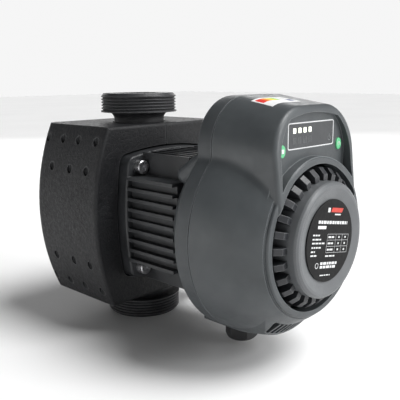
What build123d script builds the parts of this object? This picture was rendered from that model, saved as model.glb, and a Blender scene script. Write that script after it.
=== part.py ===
from build123d import *
import os
from math import cos, pi, sin

# Wet-rotor heating circulator pump: cast-iron housing with two union threads,
# foam insulation shells, ribbed canned motor and an electronic control head.
# Millimetres. Parts are drawn about the crossing of the pipe axis (Z) and the
# shaft axis (Y); save() lifts them so the origin is the centre of the lower port
# face. -Y points out of the name plate, +X is to the right of someone facing it.

# Ports and pump housing
PORT_TO_PORT = 180.0
PORT_Z = PORT_TO_PORT / 2
THREAD_R = 29.8
THREAD_PITCH = 2.309
THREAD_TURNS = 5
THREAD_DEPTH = 1.3
THREAD_CREST = 0.7
THREAD_ROOT = 0.25
THREAD_LEAD = 2.2
LIP_R = 30.3
LIP_LENGTH = 1.0
NECK_R = 20.0
PORT_BORE_R = 16.0
PORT_BORE_LENGTH = 12.0
PASSAGE_R = 12.5
PASSAGE_BACK_Y = 25.0
VOLUTE_R = 48.5
VOLUTE_BORE_R = 40.0
VOLUTE_BACK_Y = 8.0
EYE_WALL_Y = 14.0
SUCTION_BACK_Y = 38.0
HOUSING_FACE_Y = -30.0

# Insulation shells
SHELL_HALF_HEIGHT = 67.3
SHELL_HALF_WIDTH = 71.0
SHELL_SIDE_R = 160.0
SHELL_FRONT_Y = -32.0
SHELL_BACK_Y = 48.0
SHELL_BACK_CORNER = 9.0
SHELL_EDGE = 2.4
SHELL_SEAM = 0.5
DIMPLE_R = 3.2
DIMPLE_DEPTH = 1.8
DIMPLE_ROWS = ((35.5, (26.5, 3.0, -17.5)), (56.5, (39.0, 18.6, -1.1, -22.5)))

# Motor flange and motor
FLANGE_CORNER = 45.0
FLANGE_BULGE = 49.6
FLANGE_CORNER_R = 7.0
FLANGE_FRONT_Y = -41.0
SCREW_X = 36.8
SCREW_Z = 38.0
SCREW_R = 3.0
SCREW_HEAD_R = 5.0
SCREW_HEAD_LENGTH = 6.0
SCREW_KEY = 5.0
BARREL_R = 44.0
BARREL_END_Y = -96.0
RIB_REACH = 48.0
RIB_END_Y = -88.0
RIB_THICKNESS = 2.4
RIB_PITCH = 7.6
RIB_ROOT = 43.2
RIB_SPREAD = 31.0
STATOR_R = 39.0
STATOR_BORE_R = 19.1
STATOR_FRONT_Y = -80.0
STATOR_BACK_Y = -44.0
TOOTH_COUNT = 6
TOOTH_WIDTH = 10.0
CAN_R = 19.0
CAN_WALL = 0.6
CAN_END_Y = -92.0
PLATE_R = 43.4
SHAFT_R = 4.0
BEARING_GAP = 0.05
ROTOR_R = 17.6

# Control head
HEAD_R = 71.0
HEAD_BACK_Y = -114.0
SEAM_Y = -125.0
SEAM_GAP = 0.6
WALL = 2.6
BOX_BACK_HALF = 49.5
BOX_BACK_TOP = 90.0
BOX_BACK_CORNER = 32.0
BOX_FRONT_HALF = 42.2
BOX_FRONT_TOP = 82.4
BOX_FRONT_CORNER = 30.0
BOX_FRONT_Y = -180.0
BROW_Y = -167.2
CHIN_Y = -178.6
SOFT_END_Y = -166.5
PANEL_Y = -165.2
PANEL_HALF = 38.6
PANEL_CORNER = 26.6
BOX_EDGE = 3.5
HEAD_BLEND = 8.0
LIP_OUTER_R = 52.0
LIP_INNER_R = 48.0
LIP_Y = -172.0
GRILLE_FLOOR_Y = -152.0
INNER_FACE_Y = -163.0
COLLAR_Y = -92.0
REAR_EDGE = 3.0
EAR_BASE = (37.5, -119.0, 53.0)
EAR_TIP = (39.5, -89.5, 35.5)
BOARD_Y = -154.4
BOARD_POSTS = ((-24.5, 69), (-22, 56.5), (22, 56.5), (24.5, 69))
COVER_SCREWS = ((-41, 56), (41, 56), (-40, -48), (40, -48))
COVER_SCREW_R = 1.8
SCREW_SEAT_Y = -116.0
GRILLE_RIBS = 27
HUB_R = 37.5
HUB_Y = -182.0
NAME_PLATE_R = 26.4
WINDOW_HALF = 25.2
WINDOW_LOW = 57.9
WINDOW_HIGH = 74.1
WINDOW_LINE = 0.65
LIGHT_X = (-18.3, -12.8, -7.4, -1.9)
LIGHT_Z = 69.3
BUTTON_X = 31.2
BUTTON_Z = 57.8
BUTTON_HALF_WIDTH = 3.0
BUTTON_HALF_HEIGHT = 3.9

# Terminal chamber and cable entry
CHAMBER_SEAM_HALF = ((53.0, -45.0), (28.0, -66.5), (15.0, -74.0))
CHAMBER_FRONT_HALF = ((39.0, -45.0), (24.5, -65.0), (13.0, -70.5))
CHAMBER_REAR_HALF = 27.0
CHAMBER_BACK_Y = -97.0
CHAMBER_FRONT_Y = -160.0
CHAMBER_LOW = -74.0
GLAND_Y = -109.0
GLAND_TOP = -76.0
GLAND_END = -85.5
VENT_HALF = 29.0
VENT_INNER_R = 59.0
VENT_OUTER_R = 67.2
VENT_SLATS = 10
VENT_PITCH = 5.6
GLAND_BORE_R = 4.5
GLAND_THREAD_R = 7.5
GLAND_KEY = 20.5


def block(x0, x1, y0, y1, z0, z1):
    centre = ((x0 + x1) / 2, (y0 + y1) / 2, (z0 + z1) / 2)
    return Pos(*centre) * Box(abs(x1 - x0), abs(y1 - y0), abs(z1 - z0))


def rod_y(radius, y0, y1, x=0.0, z=0.0):
    return Pos(x, (y0 + y1) / 2, z) * Rot(X=90) * Cylinder(radius, abs(y1 - y0))


def rod_z(radius, z0, z1, x=0.0, y=0.0):
    return Pos(x, y, (z0 + z1) / 2) * Cylinder(radius, abs(z1 - z0))


def ring_y(outer, inner, y0, y1, x=0.0, z=0.0):
    return rod_y(outer, y0, y1, x, z) - rod_y(inner, y0, y1, x, z)


def ring_z(outer, inner, z0, z1, x=0.0, y=0.0):
    return rod_z(outer, z0, z1, x, y) - rod_z(inner, z0, z1, x, y)


def prism_y(sketch, y_back, y_front):
    """Extrude a front-view sketch (X right, Z up) from y_back forward to y_front."""
    return extrude(Plane.XZ.offset(-y_back) * sketch, amount=y_back - y_front)


def turned_y(*points):
    """Solid of revolution about the shaft axis from (radius, y) points."""
    return revolve(Polygon(*points, align=None), Axis.Y)


def turned_z(*points):
    """Solid of revolution about the pipe axis from (radius, z) points."""
    return revolve(Plane.XZ * Polygon(*points, align=None), Axis.Z)


def joined(pieces):
    return Part() + list(pieces)


def ring_edges(shape, radius, z):
    circles = shape.edges().filter_by(GeomType.CIRCLE)
    return [e for e in circles if abs(e.radius - radius) < 0.01 and abs(e.arc_center.Z - z) < 0.01]


def bulged_square(corner, bulge, corner_r):
    """Square on its corners whose four sides bow out to the bulge distance."""
    corners = [(-corner, corner), (corner, corner), (corner, -corner), (-corner, -corner)]
    middles = [(0, bulge), (bulge, 0), (0, -bulge), (-bulge, 0)]
    arcs = [ThreePointArc(corners[i], middles[i], corners[(i + 1) % 4]) for i in range(4)]
    face = make_face(arcs)
    return fillet(face.vertices(), corner_r)


def flange_corners():
    return [(sx * SCREW_X, sz * SCREW_Z) for sx in (-1, 1) for sz in (-1, 1)]


# Pump housing -------------------------------------------------------------

def port_head():
    """Upper port: neck, threaded head and end chamfer, about the pipe axis."""
    flank = (THREAD_PITCH - THREAD_CREST - THREAD_ROOT) / 2
    root = THREAD_R - THREAD_DEPTH
    profile = [(0, PORT_Z), (THREAD_R - 1.9, PORT_Z)]
    z = PORT_Z - THREAD_LEAD
    for _ in range(THREAD_TURNS):
        profile += [(THREAD_R, z), (THREAD_R, z - THREAD_CREST)]
        profile += [(root, z - THREAD_CREST - flank), (root, z - THREAD_PITCH + flank)]
        z -= THREAD_PITCH
    profile += [(LIP_R, z), (LIP_R, z - LIP_LENGTH)]
    under = z - LIP_LENGTH
    profile += [(NECK_R, under), (NECK_R, 40), (0, 40)]
    head = turned_z(*profile)
    return fillet(ring_edges(head, NECK_R, under), 5.5)


def suction_path():
    """Inlet channel: up from the lower port, then back behind the impeller."""
    points = [(0, 0, -PORT_Z + 4), (0, 0, -74), (0, PASSAGE_BACK_Y, -44), (0, PASSAGE_BACK_Y, 0)]
    return FilletPolyline(*points, radius=24)


def along(path, radius):
    return sweep(Plane(origin=path @ 0, z_dir=path % 0) * Circle(radius), path=path)


def pump_housing():
    upper = port_head()
    passage = suction_path()
    outside = rod_y(VOLUTE_R, HOUSING_FACE_Y, EYE_WALL_Y)
    outside += rod_y(31, EYE_WALL_Y - 4, SUCTION_BACK_Y)
    outside += prism_y(bulged_square(44.4, 48.8, FLANGE_CORNER_R), -16, HOUSING_FACE_Y)
    outside += upper
    outside += mirror(upper, Plane.XY)
    outside += along(passage, PASSAGE_R + 3.5)
    hollows = [
        rod_y(VOLUTE_BORE_R, VOLUTE_BACK_Y, HOUSING_FACE_Y),
        rod_y(PLATE_R + 0.1, HOUSING_FACE_Y + 3.5, HOUSING_FACE_Y),
        rod_y(18, VOLUTE_BACK_Y - 1, EYE_WALL_Y + 4),
        rod_y(25, EYE_WALL_Y, SUCTION_BACK_Y - 3),
        along(passage, PASSAGE_R),
        rod_z(PORT_BORE_R, -PORT_Z, -PORT_Z + PORT_BORE_LENGTH),
        rod_z(PORT_BORE_R, PORT_Z - PORT_BORE_LENGTH, PORT_Z),
        rod_z(14, 34, PORT_Z),
    ]
    hollows += [rod_y(SCREW_R, -17, HOUSING_FACE_Y, x, z) for x, z in flange_corners()]
    return outside - hollows


def wear_ring():
    return ring_y(18, 16, VOLUTE_BACK_Y, EYE_WALL_Y)


# Insulation shells --------------------------------------------------------

def shell_outline():
    inset = SHELL_SIDE_R - (SHELL_SIDE_R**2 - SHELL_HALF_HEIGHT**2) ** 0.5
    w, h = SHELL_HALF_WIDTH - inset, SHELL_HALF_HEIGHT
    sides = [
        Line((-w, h), (w, h)),
        ThreePointArc((w, h), (SHELL_HALF_WIDTH, 0), (w, -h)),
        Line((w, -h), (-w, -h)),
        ThreePointArc((-w, -h), (-SHELL_HALF_WIDTH, 0), (-w, h)),
    ]
    return make_face(sides)


def shell_block():
    solid = prism_y(shell_outline(), SHELL_BACK_Y, SHELL_FRONT_Y)
    back_sides = solid.edges().group_by(Axis.Y)[-1].filter_by(GeomType.CIRCLE)
    solid = fillet(back_sides, SHELL_BACK_CORNER)
    rims = solid.edges().group_by(Axis.Y)[0]
    solid = fillet(rims, SHELL_EDGE)
    return solid


def dimples():
    cuts = []
    for height, places in DIMPLE_ROWS:
        reach = SHELL_HALF_WIDTH - SHELL_SIDE_R + (SHELL_SIDE_R**2 - height**2) ** 0.5
        for y in places:
            for z in (-height, height):
                hole = Pos(-reach, y, z) * Rot(Y=90) * Cylinder(DIMPLE_R, 2 * DIMPLE_DEPTH)
                cuts += [hole, mirror(hole, Plane.YZ)]
    return cuts


def insulation():
    clear = 1.5
    nest = [
        rod_y(VOLUTE_R + clear, SHELL_FRONT_Y - 5, EYE_WALL_Y + clear),
        rod_y(31 + clear, EYE_WALL_Y, SUCTION_BACK_Y + clear),
        along(suction_path(), PASSAGE_R + 3.5 + clear),
        rod_z(NECK_R + 1, -PORT_Z, PORT_Z),
        prism_y(bulged_square(46, 50.8, FLANGE_CORNER_R + 1), -14.5, SHELL_FRONT_Y - 5),
    ]
    shell = shell_block() - nest - dimples()
    reach = SHELL_HALF_WIDTH + 10
    left = shell & block(-reach, -SHELL_SEAM / 2, -reach, reach, -reach, reach)
    right = shell & block(SHELL_SEAM / 2, reach, -reach, reach, -reach, reach)
    return left, right


# Motor --------------------------------------------------------------------

def motor_housing():
    flange = bulged_square(FLANGE_CORNER, FLANGE_BULGE, FLANGE_CORNER_R)
    body = prism_y(flange, HOUSING_FACE_Y, FLANGE_FRONT_Y)
    body = fillet(body.edges().group_by(Axis.Y)[0], 1.5)
    body += rod_y(BARREL_R, FLANGE_FRONT_Y + 2, BARREL_END_Y)
    for wide, tall in ((RIB_ROOT, RIB_SPREAD), (RIB_SPREAD, RIB_ROOT)):
        body += block(-wide, wide, FLANGE_FRONT_Y + 1, RIB_END_Y, -tall, tall)
    half = RIB_THICKNESS / 2
    for step in range(-4, 5):
        at = step * RIB_PITCH
        body += block(-RIB_REACH, RIB_REACH, FLANGE_FRONT_Y + 1, RIB_END_Y, at - half, at + half)
        body += block(at - half, at + half, FLANGE_FRONT_Y + 1, RIB_END_Y, -RIB_REACH, RIB_REACH)
    hollows = [
        rod_y(STATOR_R, HOUSING_FACE_Y, BARREL_END_Y + 3),
        rod_y(6, BARREL_END_Y, BARREL_END_Y + 3, z=28),
    ]
    clear = SCREW_R + 0.3
    hollows += [rod_y(clear, HOUSING_FACE_Y, FLANGE_FRONT_Y, x, z) for x, z in flange_corners()]
    return body - hollows


def motor_screws():
    screws = []
    for x, z in flange_corners():
        screw = rod_y(SCREW_R, -17.5, FLANGE_FRONT_Y, x, z)
        head = rod_y(SCREW_HEAD_R, FLANGE_FRONT_Y, FLANGE_FRONT_Y - SCREW_HEAD_LENGTH, x, z)
        head = chamfer(head.edges().group_by(Axis.Y)[0], 0.6)
        top = FLANGE_FRONT_Y - SCREW_HEAD_LENGTH
        key = Pos(x, z) * RegularPolygon(SCREW_KEY / 2, 6, major_radius=False)
        screws.append(screw + head - prism_y(key, top + 3.2, top))
    return joined(screws)


def bearing_plate():
    plate = ring_y(PLATE_R, 8, -28, -29)
    return plate + ring_y(10, 8, -28, -38)


def housing_seal():
    return ring_y(43.3, 40.7, -26.5, -28)


def rotor_can():
    tube = ring_y(CAN_R, CAN_R - CAN_WALL, -29, CAN_END_Y)
    rim = ring_y(PLATE_R, CAN_R - CAN_WALL, -29, -30)
    return tube + rim + rod_y(CAN_R, CAN_END_Y + CAN_WALL, CAN_END_Y)


def front_bearing():
    return ring_y(8, SHAFT_R + BEARING_GAP, -29, -38)


def thrust_washer():
    return ring_y(9.5, SHAFT_R + 0.3, -38, -40)


def rear_bearing():
    return ring_y(8, SHAFT_R + BEARING_GAP, -83, -91)


def rear_bearing_holder():
    holder = ring_y(CAN_R - CAN_WALL, 8, -84, CAN_END_Y + CAN_WALL)
    vents = [rod_y(2.2, -84, CAN_END_Y + CAN_WALL, 13 * cos(a), 13 * sin(a)) for a in spread(4)]
    return holder - vents


def spread(count):
    return [2 * pi * i / count for i in range(count)]


def stator_core():
    core = ring_y(STATOR_R, 33, STATOR_BACK_Y, STATOR_FRONT_Y)
    shoes = ring_y(23.5, STATOR_BORE_R, STATOR_BACK_Y, STATOR_FRONT_Y)
    for i in range(TOOTH_COUNT):
        turn = Rot(Y=360 * i / TOOTH_COUNT)
        core += turn * block(-TOOTH_WIDTH / 2, TOOTH_WIDTH / 2, STATOR_FRONT_Y, STATOR_BACK_Y, 22, 34)
        gap = block(-1.5, 1.5, STATOR_FRONT_Y, STATOR_BACK_Y, 15, 26)
        shoes -= Rot(Y=360 * (i + 0.5) / TOOTH_COUNT) * gap
    return core + shoes


def stator_windings():
    coils = []
    half = TOOTH_WIDTH / 2
    for i in range(TOOTH_COUNT):
        coil = block(-half - 6, half + 6, STATOR_FRONT_Y - 6, STATOR_BACK_Y + 6, 24, 31)
        coil = fillet(coil.edges().filter_by(Axis.Z), 4)
        coil -= block(-half - 0.2, half + 0.2, STATOR_FRONT_Y - 0.2, STATOR_BACK_Y + 0.2, 24, 31)
        coils.append(Rot(Y=360 * i / TOOTH_COUNT) * coil)
    return joined(coils)


# Rotor --------------------------------------------------------------------

def shaft():
    rod = rod_y(SHAFT_R, 0, -90.5)
    return chamfer(rod.edges().filter_by(GeomType.CIRCLE), 0.5)


def rotor_magnet():
    return ring_y(ROTOR_R - 0.6, SHAFT_R, -41, -80)


def rotor_jacket():
    return ring_y(ROTOR_R, ROTOR_R - 0.6, -41, -80) + ring_y(ROTOR_R, SHAFT_R, -80, -81)


def impeller():
    wheel = rod_y(33, -20.5, -23) + rod_y(9, -20.5, -6)
    wheel += ring_y(33, 13.2, 0, 2.2)
    wheel += ring_y(15.8, 13.2, 2.2, 12)
    for i in range(6):
        vane = trace(ThreePointArc((12, 0), (23, 4.5), (31.5, 14)), 1.8)
        wheel += Rot(Y=60 * i) * prism_y(vane, 0, -20.5)
    return wheel - rod_y(SHAFT_R, 2, -23)


# Control head -------------------------------------------------------------

def head_turned(grow):
    """Round part of the front hood, its surface moved out by grow."""
    sides = [
        Line((0, SEAM_Y), (HEAD_R + grow, SEAM_Y)),
        ThreePointArc((HEAD_R + grow, SEAM_Y), (66 + grow, -148), (53.5 + grow, -169.5)),
        Line((53.5 + grow, -169.5), (0, -169.5)),
        Line((0, -169.5), (0, SEAM_Y)),
    ]
    return revolve(make_face(sides), Axis.Y)


def box_section(half, top, corner, y, grow):
    low = -20.0
    shape = RectangleRounded(2 * (half + grow), top + grow - low, corner + grow)
    return Plane.XZ.offset(-y) * Pos(0, (top + grow + low) / 2) * shape


def head_box(grow):
    """Upper box of the front hood, narrowing towards its face, which leans back at the brow."""
    back = box_section(BOX_BACK_HALF, BOX_BACK_TOP, BOX_BACK_CORNER, SEAM_Y, grow)
    front = box_section(BOX_FRONT_HALF, BOX_FRONT_TOP, BOX_FRONT_CORNER, BOX_FRONT_Y, grow)
    lean = (BROW_Y - CHIN_Y) / 104
    behind = ((CHIN_Y - 10 * lean, -30), (SEAM_Y, -30), (SEAM_Y, 104), (BROW_Y + 20 * lean, 104))
    side = Plane.YZ * Polygon(*behind, align=None)
    return loft([back, front]) & extrude(side, amount=80, both=True)


def hood_skin():
    """Round hood and upper box run together with soft inner corners and a round front edge."""
    box = head_box(0)
    face = box.faces().sort_by(Axis.Y)[0]
    rounded = fillet([edge for edge in face.edges() if edge.center().Z > 0], BOX_EDGE)
    front_part = block(-80, 80, SOFT_END_Y, CHIN_Y - 20, -40, 120)
    return soften(head_turned(0) + (rounded - front_part)) + (rounded & front_part)


def soften(solid):
    """Round the two inner corners where the flat sides of the box meet the round head."""
    corners = []
    for edge in solid.edges():
        middle = edge @ 0.5
        runs_back = abs((edge @ 1 - edge @ 0).Y) > 8
        if runs_back and abs(middle.X) > 30 and 25 < middle.Z < 52:
            corners.append(edge)
    return fillet(corners, HEAD_BLEND)


def chamber_outline(half, grow):
    rim = (half[0][0] + grow, half[0][1])
    right = [rim] + [(x + grow, z - grow) for x, z in half[1:]]
    left = [(-x, z) for x, z in right]
    return Polygon(*left, *reversed(right), align=None)


def chamber(grow):
    """Terminal chamber under the round hood, its surface moved out by grow."""
    seam = chamber_outline(CHAMBER_SEAM_HALF, grow)
    tip = chamber_outline(CHAMBER_FRONT_HALF, grow)
    tip_y = CHAMBER_FRONT_Y - grow
    front = loft([Plane.XZ.offset(-SEAM_Y) * seam, Plane.XZ.offset(-tip_y) * tip])
    half = CHAMBER_REAR_HALF + grow
    back_y = CHAMBER_BACK_Y + grow
    rear = prism_y(seam, back_y, SEAM_Y) & block(-half, half, back_y, SEAM_Y, -100, -30)
    rear += prism_y(seam, HEAD_BACK_Y + grow, SEAM_Y)
    wedge = turned_y(
        (0, back_y),
        (76.5 + grow, back_y),
        (76 + grow, HEAD_BACK_Y),
        (68.7 + grow, -152 - grow),
        (60 + grow, tip_y),
        (0, tip_y),
    )
    return (front + rear) & wedge


def panel_outline():
    """Sunken display field: brow arc on top, sides, and two horns beside the ring."""
    r = LIP_OUTER_R + 0.4
    horn_x, horn_z = 39.4, (r**2 - 39.4**2) ** 0.5
    hip, shoulder = (PANEL_HALF, 44), (PANEL_HALF, BOX_FRONT_TOP - BOX_FRONT_CORNER)
    bend = (PANEL_HALF - PANEL_CORNER * 0.09, shoulder[1] + PANEL_CORNER * 0.42)
    brow, crown = (26.0, 76.8), (0, 80.0)
    half = [
        Line((horn_x, horn_z), hip),
        Line(hip, shoulder),
        ThreePointArc(shoulder, bend, brow),
    ]
    other = [mirror(edge, Plane.YZ) for edge in half]
    brow_arc = ThreePointArc(brow, crown, (-brow[0], brow[1]))
    ring_arc = ThreePointArc((horn_x, horn_z), (0, r), (-horn_x, horn_z))
    return make_face([*half, brow_arc, *other, ring_arc])


def window_outline(grow):
    width = 2 * (WINDOW_HALF + grow)
    height = WINDOW_HIGH - WINDOW_LOW + 2 * grow
    return Pos(0, (WINDOW_HIGH + WINDOW_LOW) / 2) * RectangleRounded(width, height, 1.6 + grow)


def vent_opening():
    """Curved window in the sloping front of the terminal chamber."""
    band = ring_y(VENT_OUTER_R, VENT_INNER_R, -148, -162)
    return band & block(-VENT_HALF, VENT_HALF, -148, -162, -80, -40)


def vent_slats():
    """Slanted louvre bars across the chamber window."""
    skin = (chamber(0) - chamber(-1.8)) & vent_opening()
    slats = []
    for i in range(VENT_SLATS):
        x = (i - (VENT_SLATS - 1) / 2) * VENT_PITCH
        slats.append(skin & (Pos(x, -155, -62) * Rot(Y=28) * Box(1.5, 20, 30)))
    return joined(slats)


def head_lip():
    lip = rod_y(LIP_OUTER_R, -160, LIP_Y)
    return fillet(lip.edges().group_by(Axis.Y)[0], 1.2)


def head_front_cover():
    hood = hood_skin()
    hood += chamber(0) & block(-60, 60, SEAM_Y, -200, -100, 0)
    hood -= prism_y(panel_outline(), PANEL_Y, -180)
    hood += head_lip()
    front_of_seam = block(-100, 100, SEAM_Y - SEAM_GAP, -200, -100, 100)
    hollows = [
        head_turned(-WALL) & block(-80, 80, SEAM_Y, INNER_FACE_Y, -80, 80),
        head_box(-WALL) & block(-60, 60, SEAM_Y, INNER_FACE_Y, -30, 100),
        chamber(-WALL) & block(-60, 60, SEAM_Y, -158, -100, -20),
        rod_y(LIP_INNER_R, -155, -180),
        prism_y(window_outline(0.1), PANEL_Y + 1.0, PANEL_Y),
    ]
    hollows += [light_pipe(x, 0.1, INNER_FACE_Y + 1) for x in LIGHT_X]
    hollows += [prism_y(button_outline(x, 0.25), -160, -170) for x in (-BUTTON_X, BUTTON_X)]
    hood = (hood & front_of_seam) - hollows - vent_opening()
    hood += [rod_y(2.2, BOARD_Y - 1.6, INNER_FACE_Y - 0.3, x, z) for x, z in BOARD_POSTS]
    hood += [rod_y(4.5, SEAM_Y - SEAM_GAP, -139, x, z) for x, z in COVER_SCREWS]
    return hood - [rod_y(COVER_SCREW_R, SEAM_Y, -136, x, z) for x, z in COVER_SCREWS]


def light_pipe(x, grow, back_y):
    half, tall = 1.3 + grow, 1.5 + grow
    return block(x - half, x + half, back_y, PANEL_Y - 0.2, LIGHT_Z - tall, LIGHT_Z + tall)


def seam_outline(grow):
    """Head outline at the seam: circle and upper box with soft inner corners."""
    low = -20.0
    box = RectangleRounded(
        2 * (BOX_BACK_HALF + grow), BOX_BACK_TOP + grow - low, BOX_BACK_CORNER + grow
    )
    outline = Circle(HEAD_R + grow) + Pos(0, (BOX_BACK_TOP + grow + low) / 2) * box
    corners = [v for v in outline.vertices() if abs(v.X) > 40 and 40 < v.Y < 54]
    return fillet(corners, HEAD_BLEND - grow)


def head_back_skin(grow):
    """Rear cover surface: flat back plate and the collar around the motor."""
    plate = prism_y(seam_outline(grow), HEAD_BACK_Y + 2 + grow, SEAM_Y)
    if grow >= 0:
        plate = fillet(plate.edges().group_by(Axis.Y)[-1], REAR_EDGE)
    collar = turned_y(
        (0, SEAM_Y),
        (HEAD_R - 4 + grow, SEAM_Y),
        (HEAD_R - 4 + grow, HEAD_BACK_Y + 1 + grow),
        (60 + grow, COLLAR_Y - 10 + grow),
        (51 + grow, COLLAR_Y + grow),
        (0, COLLAR_Y + grow),
    )
    return joined([plate, collar, ear(-1, grow), ear(1, grow)])


def ear(side, grow):
    """Slanting hood from the back plate down to an upper corner of the motor."""
    base = Vector(side * EAR_BASE[0], EAR_BASE[1], EAR_BASE[2])
    tip = Vector(side * EAR_TIP[0], EAR_TIP[1], EAR_TIP[2])
    reach = (tip - base).length + grow
    cone = turned_z((0, 0), (9 + grow, 0), (6 + grow, reach - 3), (4 + grow, reach), (0, reach))
    return Plane(origin=base, z_dir=tip - base).location * cone


def head_rear_cover():
    cover = head_back_skin(0) + (chamber(0) & block(-60, 60, CHAMBER_BACK_Y, SEAM_Y, -100, 0))
    hollows = [
        head_back_skin(-WALL) & block(-100, 100, COLLAR_Y + 5, SEAM_Y, -100, 100),
        chamber(-WALL) & block(-60, 60, CHAMBER_BACK_Y, SEAM_Y, -100, -40),
        rod_y(HEAD_R - WALL, -121, SEAM_Y),
        rod_y(BARREL_R + 0.4, COLLAR_Y + 10, BARREL_END_Y - 0.2),
        rod_z(GLAND_THREAD_R + 0.2, CHAMBER_LOW - 5, -60, 0, GLAND_Y),
    ]
    ribs_room = [
        block(-RIB_REACH - 0.5, RIB_REACH + 0.5, COLLAR_Y + 1, RIB_END_Y - 0.5, -34, 34),
        block(-34, 34, COLLAR_Y + 1, RIB_END_Y - 0.5, -RIB_REACH - 0.5, RIB_REACH + 0.5),
    ]
    cover = cover - hollows - ribs_room
    web = ring_y(60, 33, BARREL_END_Y, BARREL_END_Y - WALL)
    bosses = [rod_y(6.5, -103, SEAM_Y, x, z) for x, z in COVER_SCREWS]
    cover += [head_back_skin(0) & piece for piece in [web, *bosses]]
    pockets = [rod_y(4.2, -100, SCREW_SEAT_Y, x, z) for x, z in COVER_SCREWS]
    pockets += [rod_y(COVER_SCREW_R + 0.2, -100, SEAM_Y, x, z) for x, z in COVER_SCREWS]
    return cover - pockets


def cover_screws():
    screws = []
    for x, z in COVER_SCREWS:
        head = rod_y(3.6, SCREW_SEAT_Y + 2.6, SCREW_SEAT_Y, x, z)
        head = fillet(head.edges().group_by(Axis.Y)[-1], 1.0)
        screw = head + rod_y(COVER_SCREW_R, SCREW_SEAT_Y, -135.5, x, z)
        cross = block(x - 2.2, x + 2.2, SCREW_SEAT_Y + 1.4, SCREW_SEAT_Y + 3, z - 0.4, z + 0.4)
        cross += block(x - 0.4, x + 0.4, SCREW_SEAT_Y + 1.4, SCREW_SEAT_Y + 3, z - 2.2, z + 2.2)
        screws.append(screw - cross)
    return joined(screws)


def head_seal():
    """Rubber cord lying in the joint between the two head covers, round part only."""
    cord = ring_y(HEAD_R - 0.9, HEAD_R - 2.4, SEAM_Y, SEAM_Y - SEAM_GAP)
    return cord - [rod_y(4.6, SEAM_Y, SEAM_Y - SEAM_GAP, x, z) for x, z in COVER_SCREWS]


def cooling_grille():
    """Dark insert in the round opening: floor ring and radial cooling blocks."""
    floor = ring_y(LIP_INNER_R - 0.1, HUB_R, GRILLE_FLOOR_Y + 3, GRILLE_FLOOR_Y)
    rib = block(HUB_R - 1, LIP_INNER_R - 2.5, GRILLE_FLOOR_Y + 1, HUB_Y + 7, -2.1, 2.1)
    rib = chamfer(rib.edges().group_by(Axis.Y)[0].group_by(Axis.X)[-1], 4)
    blocks = [Rot(Y=360 * (i + 0.5) / GRILLE_RIBS) * rib for i in range(GRILLE_RIBS)]
    return (floor + blocks) - rod_y(HUB_R, GRILLE_FLOOR_Y + 5, HUB_Y)


def centre_disc():
    """Light raised hub: a cup with a dished face that carries the name plate."""
    cup = turned_y(
        (0, GRILLE_FLOOR_Y + 3),
        (HUB_R, GRILLE_FLOOR_Y + 3),
        (HUB_R, HUB_Y + 2.2),
        (HUB_R - 0.7, HUB_Y + 0.9),
        (HUB_R - 2.2, HUB_Y),
        (HUB_R - 4.0, HUB_Y),
        (NAME_PLATE_R + 0.3, HUB_Y + 1.6),
        (0, HUB_Y + 1.6),
    )
    inside = rod_y(HUB_R - WALL, GRILLE_FLOOR_Y + 3, HUB_Y + 5)
    return cup - inside


def name_plate():
    return rod_y(NAME_PLATE_R, HUB_Y + 1.6, HUB_Y + 0.8)


def display_window():
    pane = prism_y(window_outline(-WINDOW_LINE), PANEL_Y + 1.0, PANEL_Y)
    return pane - [light_pipe(x, 0.1, PANEL_Y + 2) for x in LIGHT_X]


def display_frame():
    rim = prism_y(window_outline(0), PANEL_Y + 1.0, PANEL_Y - 0.15)
    return rim - prism_y(window_outline(-WINDOW_LINE), PANEL_Y + 1.0, PANEL_Y - 0.15)


def display_lights():
    return joined(light_pipe(x, 0, -157.6) for x in LIGHT_X)


def button_outline(x, grow):
    return Pos(x, BUTTON_Z) * Ellipse(BUTTON_HALF_WIDTH + grow, BUTTON_HALF_HEIGHT + grow)


def button(x):
    """Push button: oval cap through the face, retaining flange and switch stem."""
    cap = prism_y(button_outline(x, 0), INNER_FACE_Y + 0.1, PANEL_Y - 1.0)
    cap = fillet(cap.edges().group_by(Axis.Y)[0], 0.6)
    flange = prism_y(button_outline(x, 0.9), INNER_FACE_Y + 1.5, INNER_FACE_Y + 0.1)
    stem = rod_y(1.5, -158.8, INNER_FACE_Y + 1.5, x, BUTTON_Z)
    return cap + flange + stem


def display_board():
    board = block(-33.5, 33.5, BOARD_Y, BOARD_Y - 1.6, 53, 71.5)
    return fillet(board.edges().filter_by(Axis.Y), 2)


def key_switches():
    y = BOARD_Y - 1.6
    low, high = BUTTON_Z - 3, BUTTON_Z + 3
    return joined(block(x - 3, x + 3, y, y - 2, low, high) for x in (-BUTTON_X, BUTTON_X))


# Electronics and terminals ------------------------------------------------

def heat_sink():
    """Aluminium plate on the motor end that carries heat to the power board."""
    plate = rod_y(56, -117, -121)
    plate += rod_y(30, BARREL_END_Y, -117)
    fins = [block(-40, 40, -109, -117, z - 1.2, z + 1.2) for z in range(-40, 41, 10)]
    plate += [fin & rod_y(54, -109, -117) for fin in fins]
    return plate - rod_y(6, BARREL_END_Y, -121, z=28)


def motor_lead():
    """Sleeved winding leads from the stator to the power board."""
    return rod_y(4, STATOR_FRONT_Y - 6, -127.6, z=28)


def power_module():
    return block(-22, 22, -121, -126, -16, 16)


def power_board():
    board = rod_y(58, -126, -127.6)
    cutout = rod_y(6, -126, -127.6, z=28)
    return board - cutout


def capacitors():
    cans = []
    for x in (-12, 12):
        can = rod_y(10, -127.6, -148.0, x, -20)
        cans.append(fillet(can.edges().group_by(Axis.Y)[0], 1.2))
    return joined(cans)


def choke_coil():
    ring = Torus(9, 4)
    return Pos(0, -131.6, 8) * Rot(X=90) * ring


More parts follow.
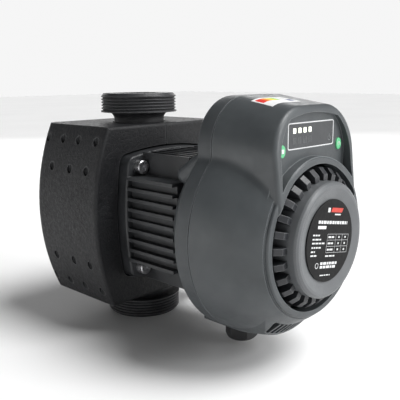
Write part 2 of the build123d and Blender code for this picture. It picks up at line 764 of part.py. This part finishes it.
def terminal_block():
    base = block(-14, 14, -127.6, -143, -58, -46)
    wire_holes = [rod_z(2.2, -60, -50, x, -136) for x in (-9, 0, 9)]
    screw_wells = [rod_y(2.4, -143, -138, x, -50) for x in (-9, 0, 9)]
    return base - wire_holes - screw_wells


def hex_prism(key, z_low, z_high):
    """Hexagonal prism on the gland axis with two flats facing front and back."""
    hexagon = RegularPolygon(key / 2, 6, major_radius=False)
    return Pos(0, GLAND_Y, z_low) * extrude(hexagon, amount=z_high - z_low)


def gland_body():
    """Cable gland: threaded tube through the chamber wall with an outer hexagon."""
    tube = rod_z(GLAND_THREAD_R, GLAND_END + 2, -60, 0, GLAND_Y)
    collar = hex_prism(GLAND_KEY + 1.5, GLAND_TOP, CHAMBER_LOW)
    return tube + collar - rod_z(GLAND_BORE_R + 1.4, GLAND_END, -60, 0, GLAND_Y)


def gland_locknut():
    nut = hex_prism(GLAND_KEY - 2, CHAMBER_LOW + WALL, CHAMBER_LOW + WALL + 4)
    return nut - rod_z(GLAND_THREAD_R, -75, -60, 0, GLAND_Y)


def gland_nut():
    """Hexagonal compression nut screwed over the gland tube, coned at its end."""
    cone = turned_z((0, GLAND_TOP), (13, GLAND_TOP), (13, GLAND_END + 3), (9.6, GLAND_END), (0, GLAND_END))
    nut = hex_prism(GLAND_KEY, GLAND_END, GLAND_TOP) & (Pos(0, GLAND_Y, 0) * cone)
    nut -= rod_z(GLAND_THREAD_R, GLAND_END + 2, GLAND_TOP, 0, GLAND_Y)
    return nut - rod_z(GLAND_BORE_R + 0.3, GLAND_END - 1, GLAND_END + 3, 0, GLAND_Y)


def gland_seal():
    return ring_z(GLAND_BORE_R + 1.4, GLAND_BORE_R, GLAND_END + 2, CHAMBER_LOW, 0, GLAND_Y)


def energy_label():
    """Thin sticker following the sloping top of the hood."""
    skin = head_box(0.25) - head_box(0)
    return skin & block(-26, 3.5, -137.5, -154, 70, 100)


def save(name, shape):
    solids = shape.solids()
    whole = solids[0] if len(solids) == 1 else Compound(solids)
    export_step(Pos(0, 0, PORT_Z) * whole, f"parts/{name}.step")


def main():
    os.makedirs("parts", exist_ok=True)
    insulation_left, insulation_right = insulation()
    parts = {
        "pump_housing": pump_housing(),
        "wear_ring": wear_ring(),
        "insulation_left": insulation_left,
        "insulation_right": insulation_right,
        "motor_housing": motor_housing(),
        "motor_screws": motor_screws(),
        "bearing_plate": bearing_plate(),
        "housing_seal": housing_seal(),
        "rotor_can": rotor_can(),
        "front_bearing": front_bearing(),
        "thrust_washer": thrust_washer(),
        "rear_bearing": rear_bearing(),
        "rear_bearing_holder": rear_bearing_holder(),
        "stator_core": stator_core(),
        "stator_windings": stator_windings(),
        "shaft": shaft(),
        "rotor_magnet": rotor_magnet(),
        "rotor_jacket": rotor_jacket(),
        "impeller": impeller(),
        "head_rear_cover": head_rear_cover(),
        "head_front_cover": head_front_cover(),
        "head_seal": head_seal(),
        "cover_screws": cover_screws(),
        "vent_slats": vent_slats(),
        "cooling_grille": cooling_grille(),
        "centre_disc": centre_disc(),
        "name_plate": name_plate(),
        "display_window": display_window(),
        "display_frame": display_frame(),
        "display_lights": display_lights(),
        "display_board": display_board(),
        "key_switches": key_switches(),
        "button_left": button(-BUTTON_X),
        "button_right": button(BUTTON_X),
        "heat_sink": heat_sink(),
        "motor_lead": motor_lead(),
        "power_module": power_module(),
        "power_board": power_board(),
        "capacitors": capacitors(),
        "choke_coil": choke_coil(),
        "terminal_block": terminal_block(),
        "gland_body": gland_body(),
        "gland_locknut": gland_locknut(),
        "gland_nut": gland_nut(),
        "gland_seal": gland_seal(),
        "energy_label": energy_label(),
    }
    for name, shape in parts.items():
        save(name, shape)


main()
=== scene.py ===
import math
import random

import bmesh
import bpy
from mathutils import Matrix, Vector


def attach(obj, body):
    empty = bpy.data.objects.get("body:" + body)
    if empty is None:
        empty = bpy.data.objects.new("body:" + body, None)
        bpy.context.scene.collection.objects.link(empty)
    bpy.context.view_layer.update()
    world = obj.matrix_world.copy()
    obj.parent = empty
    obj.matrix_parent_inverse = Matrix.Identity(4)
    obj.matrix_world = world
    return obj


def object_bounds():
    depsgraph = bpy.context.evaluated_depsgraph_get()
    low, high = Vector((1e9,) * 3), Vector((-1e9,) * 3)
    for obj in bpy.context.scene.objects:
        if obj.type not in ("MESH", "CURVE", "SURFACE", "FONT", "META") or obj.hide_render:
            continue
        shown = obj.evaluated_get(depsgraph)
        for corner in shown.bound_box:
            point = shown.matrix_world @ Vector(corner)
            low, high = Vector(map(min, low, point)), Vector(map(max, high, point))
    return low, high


MM = 0.001

# Places in the part's frame, metres
PORT_Z = 0.09  # height of the shaft axis above the suction face
PLATE_FACE_Y = -0.1812  # front of the name plate
PANEL_Y = -0.1652  # front of the display window
BUTTON_FACE_Y = PANEL_Y - 0.001  # front of the button caps
INK_PROUD = 0.00008  # how far the ink stands out of its face
INK_SUNK = 0.00002  # and how far it reaches into it
FLOOR_GAP = 0.0002
FLOOR_SIZE = 12

# Places on the head, millimetres from the shaft axis
BUTTON_X = 31.2
BUTTON_Z = 57.8
LIGHT_X = (-18.3, -12.8, -7.4, -1.9)
PRINT_TILT = -10.8  # degrees that the plate's printing is turned in its own plane

# Rectangles printed on the energy label: x and y of their borders in the part's frame, metres
COLUMN_X = (-0.025, -0.020, -0.016, -0.011, -0.007)
COLUMN_Y = (-0.1465, -0.1395)
FIELD_X = (-0.0035, 0.0020)
FIELD_Y = (-0.1510, -0.1462)
LINE_X = (-0.0040, 0.0015)
LINE_Y = -0.1445
LINE_STEP = 0.0014
LINE_WIDTH = 0.0005

# Camera: place in metres, angles in degrees, lens and sensor in millimetres
CAMERA_PLACE = (-0.3222, -0.3780, 0.1912)
CAMERA_YAW = -46.08
CAMERA_PITCH = 11.4
CAMERA_ROLL = -0.5
CAMERA_LENS = 54.48
CAMERA_SENSOR = 36

# Sine of the elevation where the studio's white walls begin to fade and where the ceiling starts
WALL_TOP = 0.14
CEILING = 0.24

# Rounded edges in the materials
BEVEL_SAMPLES = 6
FLAT = 0.985  # cosine between the rounded and the true normal, above which it is no edge
FULL_EDGE = 0.80

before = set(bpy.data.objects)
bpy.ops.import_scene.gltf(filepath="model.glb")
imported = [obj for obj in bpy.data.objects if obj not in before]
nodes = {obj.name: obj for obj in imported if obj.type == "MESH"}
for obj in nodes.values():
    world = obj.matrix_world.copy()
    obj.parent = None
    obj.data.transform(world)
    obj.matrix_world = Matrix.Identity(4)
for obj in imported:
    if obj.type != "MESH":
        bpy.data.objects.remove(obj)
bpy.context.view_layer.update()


# Camera, lights and floor ------------------------------------------------------

def add_camera():
    yaw, pitch, roll = (math.radians(angle) for angle in (CAMERA_YAW, CAMERA_PITCH, CAMERA_ROLL))
    side = Vector((math.cos(yaw), math.sin(yaw), 0))
    back = Vector((math.sin(yaw) * math.cos(pitch), -math.cos(yaw) * math.cos(pitch), math.sin(pitch)))
    top = back.cross(side)
    right = side * math.cos(roll) + top * math.sin(roll)
    up = top * math.cos(roll) - side * math.sin(roll)
    data = bpy.data.cameras.new("camera")
    data.sensor_width = CAMERA_SENSOR
    data.lens = CAMERA_LENS
    data.clip_start = 0.01
    camera = bpy.data.objects.new("camera", data)
    turn = Matrix((right, up, back)).transposed().to_4x4()
    camera.matrix_world = Matrix.Translation(CAMERA_PLACE) @ turn
    bpy.context.scene.collection.objects.link(camera)
    bpy.context.scene.camera = camera


def add_light(name, place, aim, size, power):
    """Rectangular soft box that no camera sees directly."""
    data = bpy.data.lights.new(name, "AREA")
    data.shape = "RECTANGLE"
    data.size, data.size_y = size
    data.energy = power
    light = bpy.data.objects.new(name, data)
    light.location = place
    light.rotation_euler = (Vector(aim) - Vector(place)).to_track_quat("-Z", "Y").to_euler()
    light.visible_camera = False
    bpy.context.scene.collection.objects.link(light)


def add_sun(name, aim, strength, softness):
    """Large overhead diffuser, so the floor is lit evenly to the horizon."""
    data = bpy.data.lights.new(name, "SUN")
    data.energy = strength
    data.angle = math.radians(softness)
    light = bpy.data.objects.new(name, data)
    light.rotation_euler = Vector(aim).to_track_quat("-Z", "Y").to_euler()
    bpy.context.scene.collection.objects.link(light)


def add_world(walls, ceiling):
    """Studio air: white walls round the horizon, a dimmer ceiling above."""
    world = bpy.data.worlds.new("studio")
    world.use_nodes = True
    tree = world.node_tree
    where = tree.nodes.new("ShaderNodeTexCoord")
    split = tree.nodes.new("ShaderNodeSeparateXYZ")
    rise = tree.nodes.new("ShaderNodeMapRange")
    rise.interpolation_type = "SMOOTHSTEP"
    rise.inputs["From Min"].default_value = WALL_TOP
    rise.inputs["From Max"].default_value = CEILING
    rise.inputs["To Min"].default_value = walls
    rise.inputs["To Max"].default_value = ceiling
    tree.links.new(where.outputs["Generated"], split.inputs["Vector"])
    tree.links.new(split.outputs["Z"], rise.inputs["Value"])
    tree.links.new(rise.outputs["Result"], tree.nodes["Background"].inputs["Strength"])
    tree.nodes["Background"].inputs["Color"].default_value = (1, 1, 1, 1)
    bpy.context.scene.world = world


def add_floor():
    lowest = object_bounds()[0][2]
    bpy.ops.mesh.primitive_plane_add(size=FLOOR_SIZE, location=(0, 0, lowest - FLOOR_GAP))
    floor = bpy.context.object
    floor.name = "floor"
    look = Look("floor", 0.9, specular=0.1)
    look.colour(look.cloud(3, 2, (0.90, 0.90, 0.90), (0.93, 0.93, 0.93)))
    floor.data.materials.append(look.material)


# Materials -----------------------------------------------------------------------

class Look:
    """One procedural material, built node by node around a Principled shader."""

    def __init__(self, name, roughness, metallic=0.0, coat=0.0, specular=0.5):
        self.material = bpy.data.materials.new(name)
        self.material.use_nodes = True
        self.tree = self.material.node_tree
        self.shader = self.tree.nodes["Principled BSDF"]
        self.shader.inputs["Roughness"].default_value = roughness
        self.shader.inputs["Metallic"].default_value = metallic
        self.shader.inputs["Coat Weight"].default_value = coat
        self.shader.inputs["Specular IOR Level"].default_value = specular
        self.where = self.node("ShaderNodeTexCoord").outputs["Object"]
        self.normal = None

    def node(self, kind, **values):
        """New node: values named after its sockets feed them, the others set its options."""
        made = self.tree.nodes.new(kind)
        for key, value in values.items():
            if key in made.inputs:
                self.feed(made.inputs[key], value)
            else:
                setattr(made, key, value)
        return made

    def feed(self, socket, value):
        if isinstance(value, bpy.types.NodeSocket):
            self.tree.links.new(value, socket)
        else:
            socket.default_value = value

    def noise(self, scale, detail):
        made = self.node("ShaderNodeTexNoise", Scale=scale, Detail=detail, Roughness=0.55)
        self.feed(made.inputs["Vector"], self.where)
        return made.outputs["Fac"]

    def cell_walls(self, scale):
        """0 on the walls between cells, rising towards their middles."""
        made = self.node("ShaderNodeTexVoronoi", Scale=scale)
        made.feature = "DISTANCE_TO_EDGE"
        self.feed(made.inputs["Vector"], self.where)
        return made.outputs["Distance"]

    def spread(self, value, low, high, to_low=0.0, to_high=1.0):
        made = self.node("ShaderNodeMapRange")
        self.feed(made.inputs["Value"], value)
        made.inputs["From Min"].default_value = low
        made.inputs["From Max"].default_value = high
        made.inputs["To Min"].default_value = to_low
        made.inputs["To Max"].default_value = to_high
        return made.outputs["Result"]

    def patches(self, scale, detail, to_low=0.0, to_high=1.0):
        """Soft random patches between two values: noise seldom leaves 0.3 to 0.7."""
        return self.spread(self.noise(scale, detail), 0.3, 0.7, to_low, to_high)

    def math(self, kind, a, b):
        made = self.node("ShaderNodeMath", operation=kind)
        self.feed(made.inputs[0], a)
        self.feed(made.inputs[1], b)
        return made.outputs[0]

    def inside(self, x, x_range, y, y_range):
        """1 inside a rectangle of the surface, 0 outside."""
        sides = []
        for value, (low, high) in ((x, x_range), (y, y_range)):
            above = self.math("GREATER_THAN", value, low)
            below = self.math("LESS_THAN", value, high)
            sides.append(self.math("MULTIPLY", above, below))
        return self.math("MULTIPLY", *sides)

    def mix(self, amount, a, b):
        made = self.node("ShaderNodeMix", data_type="RGBA")
        self.feed(made.inputs[0], amount)
        self.feed(made.inputs[6], a if isinstance(a, bpy.types.NodeSocket) else (*a, 1))
        self.feed(made.inputs[7], b if isinstance(b, bpy.types.NodeSocket) else (*b, 1))
        return made.outputs[2]

    def cloud(self, scale, detail, dark, light):
        return self.mix(self.patches(scale, detail), dark, light)

    def wear_and_painted_edge_highlight(self, base, radius, amount, tone):
        """The base colour, paler along every edge: wear, and a painted highlight where light catches the
        rounded edges.
        """
        return self.mix(self.math("MULTIPLY", self.edge_mask(radius), amount), base, tone)

    def colour(self, value):
        self.feed(self.shader.inputs["Base Color"], value)

    def roughness(self, scale, detail, low, high):
        self.feed(self.shader.inputs["Roughness"], self.patches(scale, detail, low, high))

    def round_edges(self, radius):
        made = self.node("ShaderNodeBevel", samples=BEVEL_SAMPLES)
        made.inputs["Radius"].default_value = radius
        self.normal = made.outputs["Normal"]
        self.feed(self.shader.inputs["Normal"], self.normal)

    def edge_mask(self, radius):
        """1 on convex and concave edges, 0 on flats."""
        soft = self.node("ShaderNodeBevel", samples=BEVEL_SAMPLES)
        soft.inputs["Radius"].default_value = radius
        sharp = self.node("ShaderNodeNewGeometry").outputs["Normal"]
        dot = self.node("ShaderNodeVectorMath", operation="DOT_PRODUCT")
        self.feed(dot.inputs[0], soft.outputs["Normal"])
        self.feed(dot.inputs[1], sharp)
        return self.spread(dot.outputs["Value"], FLAT, FULL_EDGE)

    def bump(self, height, distance):
        made = self.node("ShaderNodeBump")
        made.inputs["Distance"].default_value = distance
        made.inputs["Strength"].default_value = 1.0
        self.feed(made.inputs["Height"], height)
        if self.normal is not None:
            self.feed(made.inputs["Normal"], self.normal)
        self.normal = made.outputs["Normal"]
        self.feed(self.shader.inputs["Normal"], self.normal)


def moulded_plastic(name, dark, light, roughness, edge_colour=None):
    edge = 0.0006
    look = Look(name, roughness)
    look.round_edges(edge)
    base = look.cloud(38, 3, dark, light)
    if edge_colour:
        # Paler edges: wear, and a painted highlight along the rounded edges
        base = look.wear_and_painted_edge_highlight(base, edge * 1.4, 0.7, edge_colour)
    look.colour(base)
    look.roughness(210, 5, roughness - 0.06, roughness + 0.07)
    look.bump(look.noise(2600, 3), 0.00006)
    return look.material


def foam(name):
    """Moulded bead foam: fine satin skin over faint beads a few millimetres across."""
    look = Look(name, 0.6, specular=0.4)
    look.round_edges(0.0009)
    bead = look.cell_walls(300)
    base = look.cloud(45, 5, (0.0045, 0.0047, 0.0060), (0.0105, 0.0110, 0.0125))
    base = look.mix(look.spread(look.noise(1500, 2), 0.55, 0.8), base, (0.024, 0.025, 0.028))
    # Paler edges: a painted highlight along the shell's rounded edges, with some wear
    look.colour(look.wear_and_painted_edge_highlight(base, 0.0016, 0.5, (0.15, 0.155, 0.16)))
    look.roughness(420, 4, 0.42, 0.66)
    look.bump(look.spread(bead, 0.0, 0.12), 0.00010)
    look.bump(look.noise(1300, 3), 0.00016)
    return look.material


def energy_label(name):
    """White film: four colour columns on the left, a plain dark field and four grey lines on the right."""
    look = Look(name, 0.6, specular=0.2)
    split = look.node("ShaderNodeSeparateXYZ", Vector=look.where)
    x, y = split.outputs[0], split.outputs[1]
    paper = look.cloud(400, 3, (0.80, 0.80, 0.80), (0.88, 0.88, 0.88))
    inks = ((0.72, 0.03, 0.02), (0.88, 0.25, 0.02), (0.90, 0.72, 0.04), (0.30, 0.58, 0.08))
    for ink, left, right in zip(inks, COLUMN_X, COLUMN_X[1:]):
        paper = look.mix(look.inside(x, (left, right), y, COLUMN_Y), paper, ink)
    paper = look.mix(look.inside(x, FIELD_X, y, FIELD_Y), paper, (0.02, 0.03, 0.16))
    for i in range(4):
        low = LINE_Y + LINE_STEP * i
        line = look.inside(x, LINE_X, y, (low, low + LINE_WIDTH))
        paper = look.mix(line, paper, (0.35, 0.35, 0.36))
    look.colour(paper)
    look.bump(look.noise(900, 2), 0.00002)
    return look.material


def cast_iron(name):
    look = Look(name, 0.5)
    look.round_edges(0.0004)
    base = look.cloud(70, 5, (0.014, 0.014, 0.016), (0.034, 0.035, 0.038))
    # Paler edges: wear, and a painted highlight along the rounded edges
    look.colour(look.wear_and_painted_edge_highlight(base, 0.0006, 0.5, (0.12, 0.125, 0.13)))
    look.roughness(300, 4, 0.36, 0.58)
    look.bump(look.noise(900, 5), 0.00025)
    return look.material


def painted_casting(name):
    look = Look(name, 0.45)
    look.round_edges(0.0006)
    base = look.cloud(60, 4, (0.016, 0.017, 0.019), (0.032, 0.034, 0.037))
    # Paler edges: wear, and a painted highlight along the fins' rounded edges
    look.colour(look.wear_and_painted_edge_highlight(base, 0.0009, 0.55, (0.13, 0.135, 0.14)))
    look.roughness(240, 4, 0.34, 0.52)
    look.bump(look.noise(1400, 4), 0.00012)
    return look.material


def bright_metal(name, tint, roughness):
    look = Look(name, roughness, metallic=1.0)
    look.round_edges(0.0004)
    look.colour(look.cloud(300, 4, tuple(0.72 * c for c in tint), tint))
    look.roughness(900, 3, roughness - 0.08, roughness + 0.12)
    look.bump(look.noise(2500, 2), 0.00003)
    return look.material


def glossy(name, tint, roughness, coat, specular=0.5):
    look = Look(name, roughness, coat=coat, specular=specular)
    look.round_edges(0.0003)
    look.colour(look.cloud(90, 3, tuple(0.85 * c for c in tint), tint))
    look.roughness(500, 4, roughness, roughness + 0.12)
    look.bump(look.noise(1600, 2), 0.00002)
    return look.material


def lamp(name, tint, strength):
    look = Look(name, 0.25)
    glow = look.cloud(700, 2, tuple(0.8 * c for c in tint), tint)
    look.colour(glow)
    look.feed(look.shader.inputs["Emission Color"], glow)
    look.shader.inputs["Emission Strength"].default_value = strength
    return look.material


def give(material, *names):
    for name in names:
        slots = nodes[name].data.materials
        slots.clear()
        slots.append(material)


# Printing on the plate, the display and the buttons ----------------------------

def printed(name, material, body, face_y, shapes):
    """One piece of ink on a face that looks along -Y: outlines of x, z in mm about the shaft axis."""
    mesh = bpy.data.meshes.new(name)
    work = bmesh.new()
    for outline in shapes:
        places = [(x * MM, PORT_Z + z * MM) for x, z in outline]
        front = [work.verts.new((x, face_y - INK_PROUD, z)) for x, z in places]
        rear = [work.verts.new((x, face_y + INK_SUNK, z)) for x, z in places]
        work.faces.new(front)
        work.faces.new(list(reversed(rear)))
        for i in range(len(outline)):
            j = (i + 1) % len(outline)
            work.faces.new((front[i], rear[i], rear[j], front[j]))
    bmesh.ops.recalc_face_normals(work, faces=work.faces)
    work.to_mesh(mesh)
    work.free()
    mesh.materials.append(material)
    piece = bpy.data.objects.new(name, mesh)
    bpy.context.scene.collection.objects.link(piece)
    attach(piece, body)


def bar(x0, x1, z0, z1, lean=0.0):
    return [(x0, z0), (x1, z0), (x1 + lean, z1), (x0 + lean, z1)]


def dashes(x0, x1, z, height, chance):
    """A line of plain dashes of uneven length, as small print looks from far."""
    shapes = []
    while x0 < x1 - 0.8:
        end = min(x1, x0 + chance.uniform(1.6, 4.2))
        shapes.append(bar(x0, end, z, z + height))
        x0 = end + 0.7
    return shapes


def ring_part(x, z, outer, inner, start, stop):
    """Arc of a flat ring, in straight steps, from one angle to another in degrees."""
    steps = 14
    turn = [math.radians(start + (stop - start) * i / steps) for i in range(steps + 1)]
    shapes = []
    for a0, a1 in zip(turn, turn[1:]):
        corners = ((outer, a0), (outer, a1), (inner, a1), (inner, a0))
        shapes.append([(x + r * math.cos(a), z + r * math.sin(a)) for r, a in corners])
    return shapes


def tilted(shapes):
    """The plate went on a little clockwise, so its printing slopes down to the right."""
    c, s = math.cos(math.radians(PRINT_TILT)), math.sin(math.radians(PRINT_TILT))
    return [[(c * u - s * v, s * u + c * v) for u, v in outline] for outline in shapes]


def plate_ink(name, material, shapes):
    printed(name, material, "pump", PLATE_FACE_Y, tilted(shapes))


def bold_print(chance):
    """Square beside the red bar, two title lines, and a notice of two lines with a ring mark."""
    shapes = [bar(-7.0, -4.4, 17.9, 20.8), bar(1.5, 8.5, 16.3, 17.2)]
    shapes += dashes(-16.3, 18.2, 10.6, 2.0, chance) + [bar(-16.2, -6.7, 7.3, 9.3)]
    for z in (-15.3, -17.6):
        shapes += dashes(-8.2, 11.4, z, 1.7, chance)
    return shapes + ring_part(-11.9, -15.7, 1.9, 1.4, 0, 360)


def small_print(chance):
    """Six short lines on the left, a table of three rows and columns, and two lines below it."""
    left, right, low, high = -3.8, 21.8, -7.7, 4.3
    line = 0.2
    shapes = []
    for z, width in zip((3.4, 0.8, -1.6, -4.3, -6.9, -9.3), (8.5, 10.0, 14.0, 10.5, 4.5, 8.0)):
        shapes += dashes(-20.5, -20.5 + width, z - 0.5, 1.0, chance)
    for z in (low, -3.7, 0.3, high - line):
        shapes.append(bar(left, right, z, z + line))
    for x in (left, 6.2, 13.9, right - line):
        shapes.append(bar(x, x + line, low, high))
    for z in (-6.3, -2.3, 1.7):
        shapes += dashes(-2.6, 5.0, z, 1.2, chance)
        shapes += [bar(9.3, 10.9, z, z + 1.2), bar(17.0, 18.6, z, z + 1.2)]
    shapes += dashes(-3.6, 9.0, -10.3, 1.0, chance)
    return shapes + dashes(-7.0, 5.0, -22.4, 0.8, chance)


def add_plate_print():
    chance = random.Random(7)
    plate_ink("plate_print_red", RED, [bar(-3.5, 9.6, 18.1, 21.0, 1.4)])
    plate_ink("plate_print_white", PRINT, bold_print(chance))
    plate_ink("plate_print_small", PRINT, small_print(chance))


def add_display_print():
    """Three faint ticks under each light and a round mark at the right of the pane."""
    ticks = []
    for x in LIGHT_X:
        ticks += [bar(x - 1.4 + 1.2 * i, x - 1.0 + 1.2 * i, 61.2, 65.4) for i in range(3)]
    ticks += ring_part(20.5, 62.4, 1.7, 1.2, 0, 360)
    ticks += [bar(20.2, 20.8, 62.4, 65.0)]
    printed("display_print", FAINT, "pump", PANEL_Y, ticks)


def add_button_marks():
    square = [bar(-BUTTON_X - 1.2, -BUTTON_X + 1.2, 56.6, 59.2)]
    printed("button_mark_left", PRINT, "left_button", BUTTON_FACE_Y, square)
    arc = ring_part(BUTTON_X, BUTTON_Z, 1.5, 0.9, -40, 230)
    printed("button_mark_right", PRINT, "right_button", BUTTON_FACE_Y, arc)


# The scene -----------------------------------------------------------------------

add_camera()
# The last colour of a plastic is its edge tone: wear, and a painted highlight along the edges
HOOD = moulded_plastic("hood", (0.052, 0.058, 0.062), (0.074, 0.082, 0.087), 0.40, (0.26, 0.28, 0.29))
REAR = moulded_plastic("rear", (0.044, 0.049, 0.053), (0.064, 0.071, 0.076), 0.46, (0.22, 0.24, 0.25))
DARK = moulded_plastic("dark", (0.020, 0.021, 0.024), (0.034, 0.036, 0.040), 0.38, (0.22, 0.23, 0.24))
DISC = moulded_plastic("disc", (0.10, 0.106, 0.112), (0.13, 0.137, 0.143), 0.38, (0.36, 0.37, 0.38))
GLAND = moulded_plastic("gland", (0.012, 0.012, 0.013), (0.024, 0.024, 0.026), 0.38, (0.10, 0.10, 0.11))
SEAL = moulded_plastic("seal", (0.010, 0.010, 0.010), (0.020, 0.020, 0.020), 0.7)
INNER = moulded_plastic("inner", (0.10, 0.10, 0.10), (0.16, 0.16, 0.16), 0.5)
FOAM = foam("foam")
IRON = cast_iron("iron")
PAINT = painted_casting("paint")
ZINC = bright_metal("zinc", (0.72, 0.72, 0.74), 0.3)
STEEL = bright_metal("steel", (0.6, 0.6, 0.62), 0.35)
COPPER = bright_metal("copper", (0.72, 0.36, 0.18), 0.35)
PLATE = glossy("plate", (0.006, 0.006, 0.0065), 0.5, 0.0, 0.2)
WINDOW = glossy("window", (0.050, 0.053, 0.057), 0.35, 0.1)
PRINT = moulded_plastic("print", (0.72, 0.73, 0.74), (0.82, 0.83, 0.84), 0.4)
GREEN = moulded_plastic("green", (0.10, 0.46, 0.20), (0.14, 0.56, 0.27), 0.35)
LABEL = energy_label("label")
RED = moulded_plastic("red", (0.50, 0.03, 0.02), (0.62, 0.05, 0.03), 0.4)
FAINT = moulded_plastic("faint", (0.16, 0.17, 0.175), (0.22, 0.23, 0.235), 0.4)
BOARD = glossy("board", (0.02, 0.16, 0.07), 0.3, 0.3)
LIGHT = lamp("light", (0.95, 1.0, 0.85), 1.6)

give(HOOD, "head_front_cover", "vent_slats")
give(REAR, "head_rear_cover")
give(DARK, "cooling_grille")
give(DISC, "centre_disc")
give(GLAND, "gland_body", "gland_nut", "gland_locknut")
give(SEAL, "head_seal", "gland_seal", "housing_seal", "rear_bearing_holder")
give(FOAM, "insulation_left", "insulation_right")
give(IRON, "pump_housing")
give(PAINT, "motor_housing")
give(ZINC, "motor_screws", "cover_screws")
give(STEEL, "wear_ring", "bearing_plate", "rotor_can", "rotor_jacket")
give(STEEL, "stator_core", "rotor_magnet", "heat_sink")
give(COPPER, "stator_windings", "choke_coil")
give(PLATE, "name_plate")
give(WINDOW, "display_window")
give(PRINT, "display_frame")
give(LIGHT, "display_lights")
give(GREEN, "button_left", "button_right")
give(BOARD, "display_board", "power_board")
give(LABEL, "energy_label")
give(INNER, "shaft", "rear_bearing", "front_bearing", "thrust_washer", "impeller")
give(INNER, "key_switches", "power_module", "motor_lead", "capacitors", "terminal_block")

add_plate_print()
add_display_print()
add_button_marks()
add_floor()
add_world(walls=0.92, ceiling=0.10)
add_sun("overhead", (-0.30, 0.55, -1.0), strength=3.0, softness=30)
add_light("front", (0.45, -1.20, 0.60), (0, -0.15, 0.1), (0.5, 0.6), power=8.0)
add_light("rim", (0.95, 1.05, 0.62), (0, -0.05, 0.12), (1.5, 0.5), power=6.0)
add_light("low_left", (-0.75, 0.10, 0.05), (0, 0, 0.05), (0.6, 0.12), power=0.5)
bpy.context.scene.view_settings.view_transform = "Standard"
